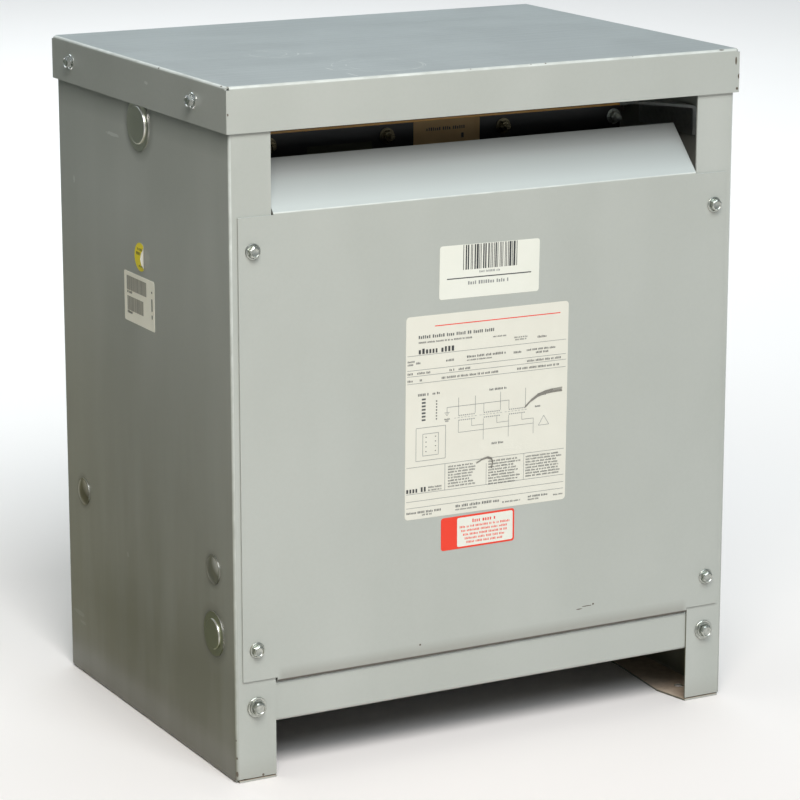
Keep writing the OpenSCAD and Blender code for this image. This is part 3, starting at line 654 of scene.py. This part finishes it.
# Bolts of the core braces, and the tap board's studs
brace_x = clamp_high.x - BRACE_BOLT_IN
brace_y = abs(clamp_low.y + clamp_high.y - CLAMP_THICK) / 2
brace_places = [(x, y) for x in (-brace_x, brace_x) for y in (-brace_y, brace_y)]
brace_nut_z = clamp_high.z - CLAMP_THICK
fasteners("brace_bolts", [PLAIN_BOLT], [((x, y, brace_top), UP) for x, y in brace_places], "brace bolts")
fasteners("brace_nuts", [NUT, THREAD], [((x, y, brace_nut_z), DOWN) for x, y in brace_places], "brace nuts")
stud_places = [((x, board_low.y, board_high.z - STUD_DROP), FRONT) for x in STUD_ROW]
fasteners("tap_board_studs", [STUD_NUT, STUD_END], stud_places[:-1], "tap studs", "stud")
fasteners("line_stud", [STUD_NUT, STUD_END], stud_places[-1:], "line stud")

# Print on the labels, in mm
CORNER_STEPS = 6
LABEL_THICK = 0.25
INK_RISE = 0.05
STRAND_RISE = 0.003
RULE = 0.5
FINE_RULE = 0.45
STRIPE_WIDTHS = (0.8, 0.8, 1.6, 2.3)
STRIPE_GAPS = (0.8, 0.9, 1.3, 1.9)

# Sizes in a row of print, as shares of its height
LETTER_WIDTH = (0.34, 0.5)
LETTER_HEIGHTS = (0.8, 1.0, 1.0)
LETTER_GAP = 0.3
WORD_GAP = 0.55


def rounded(x0, y0, x1, y1, radius):
    """Outline of a rectangle with round corners, counter-clockwise, in mm."""
    outline = []
    for cx, cy, start in ((x1 - radius, y0 + radius, -90), (x1 - radius, y1 - radius, 0),
                          (x0 + radius, y1 - radius, 90), (x0 + radius, y0 + radius, 180)):
        for i in range(CORNER_STEPS + 1):
            angle = math.radians(start + 90 * i / CORNER_STEPS)
            outline.append((cx + radius * math.cos(angle), cy + radius * math.sin(angle)))
    return outline


def bar(x0, y0, x1, y1):
    """Outline of a plain rectangle, in mm."""
    return [(x0, y0), (x1, y0), (x1, y1), (x0, y1)]


def stroke(start, end, width):
    """Outline of a straight line of this width, in mm."""
    along = (Vector(end) - Vector(start)).normalized() * width / 2
    side = Vector((-along.y, along.x))
    corners = ((start, -1), (end, -1), (end, 1), (start, 1))
    return [tuple(Vector(point) + sign * side) for point, sign in corners]


def path(points, width):
    """Lines of this width from point to point."""
    return [stroke(start, end, width) for start, end in zip(points, points[1:])]


def outline_box(x0, y0, x1, y1):
    """The four sides of a box."""
    return path([(x0, y0), (x1, y0), (x1, y1), (x0, y1), (x0, y0)], RULE)


def print_row(draw, x0, x1, y, height, longest=7):
    """A row of short bars in groups, as a line of print looks from a few steps away. It spells nothing."""
    bars = []
    x = x0
    while x < x1 - 0.5 * height:
        for _ in range(draw.randint(2, longest)):
            end = x + height * draw.uniform(*LETTER_WIDTH)
            if end > x1:
                break
            bars.append(bar(x, y, end, y + height * draw.choice(LETTER_HEIGHTS)))
            x = end + LETTER_GAP * height
        x += WORD_GAP * height
    return bars


def stripes(draw, x0, x1, y0, y1):
    """Upright stripes of mixed widths that look like a machine-read code and hold none."""
    bars = []
    x = x0
    while x < x1:
        end = min(x + draw.choice(STRIPE_WIDTHS), x1)
        bars.append(bar(x, y0, end, y1))
        x = end + draw.choice(STRIPE_GAPS)
    return bars


def scuff_strands(draw, points, spread, count):
    """Fine lines that run beside each other along a bent scuff."""
    strands = []
    for _ in range(count):
        first = draw.randint(0, 1)
        last = len(points) - draw.randint(0, 1)
        drift = draw.uniform(-spread, spread)
        bent = [(x + draw.uniform(-0.5, 0.5), y + drift * (0.4 + 0.6 * i / len(points)))
                for i, (x, y) in enumerate(points)]
        strands += path(bent[first:last], draw.uniform(0.25, 0.7))
    return strands


def label(name, corner, across, normal, size, radius, paper, prints, turn=0.0):
    """Printed label: a thin film with round corners and inked outlines just above it, each over the last.

    The corner is its lower left, across its direction from left to right, turn its lean in degrees about its
    middle. The strands of a scuff cross, so each lies a little over the last.
    """
    matrix = Matrix((across, normal.cross(across), normal)).transposed().to_4x4()
    matrix.translation = corner
    middle = Matrix.Translation(Vector((size[0] / 2, size[1] / 2, 0)) * MM)
    matrix = matrix @ middle @ Matrix.Rotation(math.radians(turn), 4, "Z") @ middle.inverted()
    mesh = bmesh.new()

    def ring(outline, height):
        return [mesh.verts.new(matrix @ (Vector((x, y, height)) * MM)) for x, y in outline]

    rim = LABEL_THICK / 2
    skin(mesh, [ring(rounded(0, 0, *size, radius), 0), ring(rounded(0, 0, *size, radius), rim),
                ring(rounded(rim, rim, size[0] - rim, size[1] - rim, radius - rim), LABEL_THICK)])
    inks = [paper]
    for order, (ink, outlines) in enumerate(prints):
        if ink not in inks:
            inks.append(ink)
        rise = STRAND_RISE if ink == "scuff" else 0.0
        for step, outline in enumerate(outlines):
            height = LABEL_THICK + INK_RISE * (order + 1) + rise * step
            mesh.faces.new(ring(outline, height)).material_index = inks.index(ink)
    finish_piece(name, mesh, inks)


# Bar label on the front cover
draw = random.Random("bar label")
bar_prints = [
    ("ink", stripes(draw, 27, 90, 29, 54.6) + [bar(8.5, 20.2, 107, 21.3)]),
    ("grey_ink", print_row(draw, 46, 71, 25, 2.2) + print_row(draw, 33, 81, 13.4, 3.6)),
]
label("bar_label", Vector((-60.4 * MM, front_y, 476.5 * MM)), RIGHT, FRONT, size=(116.5, 55), radius=3,
      paper="white", prints=bar_prints, turn=-0.9)

# Rows of print on the rating label: left end, right end, foot and height
RATING_ROWS = [
    (14.3, 103.5, 188.6, 3.3), (14.4, 77, 183.7, 1.8), (100.8, 116.5, 182, 1.5), (126, 141.5, 178.7, 1.4),
    (127, 141, 176.3, 1.4), (153.7, 167, 176.4, 2.2), (2, 10, 164.8, 1.9), (2, 9, 161.6, 1.9),
    (12, 17, 162.6, 2.2), (46.3, 55.2, 162.2, 2.3), (70.6, 116.6, 163.6, 2.4), (70.6, 100, 160.4, 1.5),
    (125.5, 136.8, 162.6, 2.2), (141, 175.6, 163.7, 2.0), (152, 168, 160.2, 2.2), (2, 9, 152, 2.2),
    (13, 28, 152, 2.2), (50.3, 57, 151.8, 2.2), (61, 75.2, 151.8, 2.2), (141.6, 182, 152, 2.2),
    (2, 8, 144.6, 2.2), (16, 19, 144.6, 2.2), (41.3, 109, 144.6, 2.2), (130, 180.6, 144.9, 2.2),
    (14.2, 27, 129, 2.6), (31, 40.3, 129.3, 2.4), (97.5, 117.4, 126.4, 2.2), (45, 52, 101, 1.5),
    (46, 51, 99, 1.5), (101, 114.6, 69.2, 2.2), (152, 159, 103, 1.8), (155, 168, 115, 2.4), (2, 43, 6, 2.3),
    (20, 32, 3.2, 1.7), (59.3, 111.5, 7, 2.7), (59.3, 84, 3.8, 1.7), (114.6, 136.4, 5, 1.7),
    (145.4, 168.7, 7, 2.1), (145.4, 160, 4, 1.7), (176, 188, 5.6, 1.5), (27, 43, 31.4, 1.8),
    (27, 43, 28.4, 1.8)]


def rating_rows(draw):
    """Rows of bars on the rating label: single rows, small columns and a table of three columns."""
    rows = []
    for row in RATING_ROWS:
        rows += print_row(draw, *row)
    for i in range(7):
        rows.append(bar(18.6, 124.5 - 3.6 * i, 23, 126.3 - 3.6 * i))
        rows.append(bar(35, 121.4 - 3.1 * i, 36.4, 122.9 - 3.1 * i))
    for x0, x1, count in ((50, 84, 8), (97.6, 136, 9), (142, 186, 8)):
        for i in range(count):
            rows += print_row(draw, x0, x1 - draw.uniform(0, 9), 50.6 - 3.0 * i, 1.7)
    for x in (23.2, 34.2):
        rows += [bar(x, y, x + 1.3, y + 0.9) for y in (85, 80, 75, 70)]
    return rows


def rating_lines():
    """Thin lines on the rating label: rules between rows, two boxes and a plain diagram of three coils."""
    lines = [bar(1.5, y, 188, y + FINE_RULE) for y in (171.4, 156.2, 150.1, 142.4, 54.9, 26.9, 19, 12.1)]
    lines += [bar(46, 27, 46.5, 54.9), bar(94.7, 27, 95.1, 50), bar(139.4, 27, 139.8, 54.9)]
    lines += outline_box(12.3, 61.2, 46.5, 95.7) + outline_box(20.1, 66.1, 38.3, 89)
    lines += path([(48, 108.5), (48, 114), (121, 114)], RULE)
    lines += [bar(45 + i, 108.3 - 1.4 * i, 51 - i, 108.8 - 1.4 * i) for i in range(3)]
    for i in range(3):
        x = 61.4 + 29.7 * i
        lines += path([(x, 114), (x, 104.8)], RULE) + path([(x + 19.6, 104.8), (x + 19.6, 123 + i)], RULE)
        for y in (103.6, 98.6):
            lines += [bar(x + 2.5 * k, y, x + 2.5 * k + 1.5, y + 1) for k in range(8)]
        lines += [bar(x - 5 + 4 * k, 101.7, x - 2.6 + 4 * k, 102.1) for k in range(7)]
        lines += path([(x + 15.5, 98.4), (x + 15.5, 91.8), (x + 29.4, 91.8)], FINE_RULE)
        lines += path([(x + 29.4, 98 if i < 2 else 91.8), (x + 29.4, 75.5)], FINE_RULE)
    lines += path([(61.4, 123), (61.4, 114)], RULE)
    lines += path([(61.4, 98.6), (61.4, 86.3), (150.2, 86.3)], FINE_RULE)
    lines += path([(162.7, 93.3), (156.4, 83.3), (169, 83.3), (162.7, 93.3)], RULE)
    return lines


def rating_prints():
    """Prints of the rating label: a red rule, thin lines, rows of bars, two bold rows and two scuffs."""
    draw = random.Random("rating label")
    rows = rating_rows(draw)
    bold = print_row(draw, 14.5, 58.8, 172.8, 5.4, 9) + print_row(draw, 1.5, 24.5, 28.4, 5.0, 4)
    long_scuff = [(140, 105), (147, 111), (155, 115.5), (164, 118), (173, 119), (184, 119.5)]
    bent_scuff = [(83, 51.5), (90, 54.8), (96, 56.2), (101, 54.5), (102, 50), (101, 44.5)]
    wear_and_highlight = scuff_strands(draw, long_scuff, 2.6, 26) + scuff_strands(draw, bent_scuff, 1.3, 14)
    red_rule = [bar(33, 199.9, 180.5, 200.9)]
    lines = rating_lines()
    return [("red", red_rule), ("grey_ink", lines), ("text_ink", rows), ("ink", bold), ("scuff", wear_and_highlight)]


label("rating_label", Vector((-99.4 * MM, front_y, 250.5 * MM)), RIGHT, FRONT, size=(190.5, 212), radius=4,
      paper="cream", prints=rating_prints(), turn=-0.5)

# Red and white label under it
draw = random.Random("red label")
red_rows = print_row(draw, 37, 66, 26.4, 3.8, 6)
for i in range(5):
    red_rows += print_row(draw, 22 + 2 * i, 82 - 2 * i, 21.6 - 4.2 * i, 2.3, 9)
red_prints = [("white", [rounded(19, 2, 85, 33, 2)]), ("red", red_rows)]
label("red_label", Vector((-58 * MM, front_y, 213 * MM)), RIGHT, FRONT, size=(87, 35), radius=3,
      paper="red", prints=red_prints)

# Label on the left side panel, read from the left
draw = random.Random("side label")
side_prints = [
    ("shade", [bar(7, 33.5, 57, 48.5), bar(8, 12, 49, 27)]),
    ("faded", stripes(draw, 7, 57, 33.5, 48.5) + stripes(draw, 8, 49, 12, 27)),
    ("ink", print_row(draw, 8, 23, 30.2, 2.6) + print_row(draw, 8, 22, 8.8, 2.6)
     + [bar(70, 21, 72, 34), bar(70, 40, 72, 42), bar(70, 13, 72, 17)]),
]
label("side_label", Vector((-half_w, 44.2 * MM, 431.6 * MM)), FRONT, LEFT, size=(77, 53), radius=2.5,
      paper="pale", prints=side_prints)


def round_sticker():
    """Round yellow sticker on the left panel, its front edge curled back to show the pale underside."""
    radius, thick, peel_from, curl, tip = 15.0, 0.2, 7.6, 3.6, 0.2
    columns, rows = 28, 14
    matrix = Matrix((FRONT, UP, LEFT)).transposed().to_4x4()
    matrix.translation = Vector((-half_w, 0.9 * MM, 505 * MM))
    mesh = bmesh.new()
    sides = []
    for lift in (0.0, thick):
        grid = []
        for i in range(columns + 1):
            u = -radius + 2 * radius * i / columns
            reach = math.sqrt(max(radius * radius - u * u, tip * tip))
            bend = max(u - peel_from, 0.0) / curl
            across = min(u, peel_from) + (curl - lift) * math.sin(bend)
            out = lift + (curl - lift) * (1 - math.cos(bend))
            grid.append([mesh.verts.new(matrix @ (Vector((across, reach * (2 * j / rows - 1), out)) * MM))
                         for j in range(rows + 1)])
        sides.append(grid)
    under, face = sides
    for i in range(columns):
        for j in range(rows):
            mesh.faces.new((face[i][j], face[i + 1][j], face[i + 1][j + 1], face[i][j + 1]))
            below = mesh.faces.new((under[i][j], under[i][j + 1], under[i + 1][j + 1], under[i + 1][j]))
            below.material_index = 1
    edge = [(i, 0) for i in range(columns + 1)] + [(columns, j) for j in range(1, rows + 1)]
    edge += [(i, rows) for i in range(columns - 1, -1, -1)] + [(0, j) for j in range(rows - 1, 0, -1)]
    for (a, b), (c, d) in zip(edge, edge[1:] + edge[:1]):
        mesh.faces.new((under[a][b], under[c][d], face[c][d], face[a][b])).material_index = 1
    draw = random.Random("round sticker")
    for x0, x1, y, height in ((-7, 5, 6.5, 2.6), (-10, 7, 1.5, 3.2), (-4, 6, -10.5, 1.8)):
        for outline in print_row(draw, x0, x1, y, height, 4):
            inked = [mesh.verts.new(matrix @ (Vector((u, v, thick + INK_RISE)) * MM)) for u, v in outline]
            mesh.faces.new(inked).material_index = 2
    finish_piece("round_sticker", mesh, ["yellow", "cream", "ink"])


round_sticker()

# Paper tags on the tap board
draw = random.Random("board tags")
tag_prints = [("ink", print_row(draw, 15, 62, 15.5, 3.4) + [bar(56, 6, 59, 11)])]
label("board_tag", Vector((-38 * MM, board_low.y, board_high.z - 28 * MM)), RIGHT, FRONT, size=(78, 26),
      radius=1, paper="tan", prints=tag_prints)
lower_prints = [("ink", print_row(draw, 10, 50, 15, 3))]
label("board_lower_tag", Vector((-160 * MM, board_low.y, board_high.z - 44 * MM)), RIGHT, FRONT,
      size=(74, 26), radius=1, paper="olive", prints=lower_prints)


def flat_sheet(name, corners, material):
    """Flat sheet with these corners, in metres, for the floor and the cards around the object."""
    mesh = bmesh.new()
    mesh.faces.new([mesh.verts.new(corner) for corner in corners])
    data = bpy.data.meshes.new(name)
    mesh.to_mesh(data)
    mesh.free()
    data.materials.append(material)
    sheet = bpy.data.objects.new(name, data)
    bpy.context.scene.collection.objects.link(sheet)
    return sheet


def upright_corners(x, y0, y1, z0, z1):
    """Corners of an upright sheet beside the object, in metres."""
    return [(x, y0, z0), (x, y1, z0), (x, y1, z1), (x, y0, z1)]


# Pale floor
FLOOR_REACH = 40
floor_corners = [(x * FLOOR_REACH, y * FLOOR_REACH, 0) for x, y in ((-1, -1), (1, -1), (1, 1), (-1, 1))]
floor = flat_sheet("floor", floor_corners, pale_floor())


def add_light(name, kind, energy, colour, place, aim, **settings):
    """Light at a place that points at aim."""
    data = bpy.data.lights.new(name, kind)
    data.energy = energy
    data.color = colour
    for key, value in settings.items():
        setattr(data, key, value)
    lamp = bpy.data.objects.new(name, data)
    bpy.context.scene.collection.objects.link(lamp)
    lamp.location = place
    lamp.rotation_mode = "QUATERNION"
    lamp.rotation_quaternion = (Vector(aim) - Vector(place)).to_track_quat("-Z", "Y")


# Soft studio light: a near key at the upper left, a cool broad light in front, a panel over the floor behind
add_light("key", "AREA", energy=21.5, colour=(1.0, 0.95, 0.90), place=(-0.75, -1.5, 1.8),
          aim=(-0.45, -0.2, 0.5), size=0.8)
add_light("sky", "SUN", energy=1.85, colour=(0.86, 0.95, 1.0), place=(-0.05, -2.3, 2.55), aim=(0, 0, 0),
          angle=math.radians(35))
add_light("back_panel", "AREA", energy=96, colour=(0.88, 0.97, 1.0), place=(0.8, 3.4, 2.6), aim=(0.8, 3.4, 0),
          shape="RECTANGLE", size=5.0, size_y=4.4)

# Faint light of the room
room = bpy.data.worlds.new("room")
bpy.context.scene.world = room
room.use_nodes = True
fill(room.node_tree, room.node_tree.nodes["Background"], {"Color": linear("#DDE6EA"), "Strength": 0.31})

# Grey card beside the left panel that keeps the room's glare off it, out of sight of the camera
card = flat_sheet("shade_card", upright_corners(x=-0.64, y0=-0.45, y1=2.4, z0=0.16, z1=0.80), grey_card())
card.visible_camera = False
card.visible_shadow = False

# Low brown card with a painted glow beside the left panel, which only mirrors in it, so that the pale floor
# doesn't
low_card = flat_sheet("low_card", upright_corners(x=-0.33, y0=-0.30, y1=1.3, z0=0.0, z1=0.56), glowing_card())
low_card.visible_camera = False
low_card.visible_diffuse = False
low_card.visible_shadow = False

# Camera at the photograph's angle
AZIMUTH = math.radians(-28.2)
ELEVATION = math.radians(13.9)
DISTANCE = 3.579
AIM = Vector((0.0439, 0.0608, 0.3008))
LENS = 145.0
SENSOR = 36.0
level = math.cos(ELEVATION)
back = Vector((math.sin(AZIMUTH) * level, -math.cos(AZIMUTH) * level, math.sin(ELEVATION)))
camera_data = bpy.data.cameras.new("camera")
camera_data.sensor_width = SENSOR
camera_data.lens = LENS
camera = bpy.data.objects.new("camera", camera_data)
bpy.context.scene.collection.objects.link(camera)
camera.location = AIM + DISTANCE * back
camera.rotation_mode = "QUATERNION"
camera.rotation_quaternion = (-back).to_track_quat("-Z", "Y")
bpy.context.scene.camera = camera
bpy.context.scene.view_settings.view_transform = "Standard"
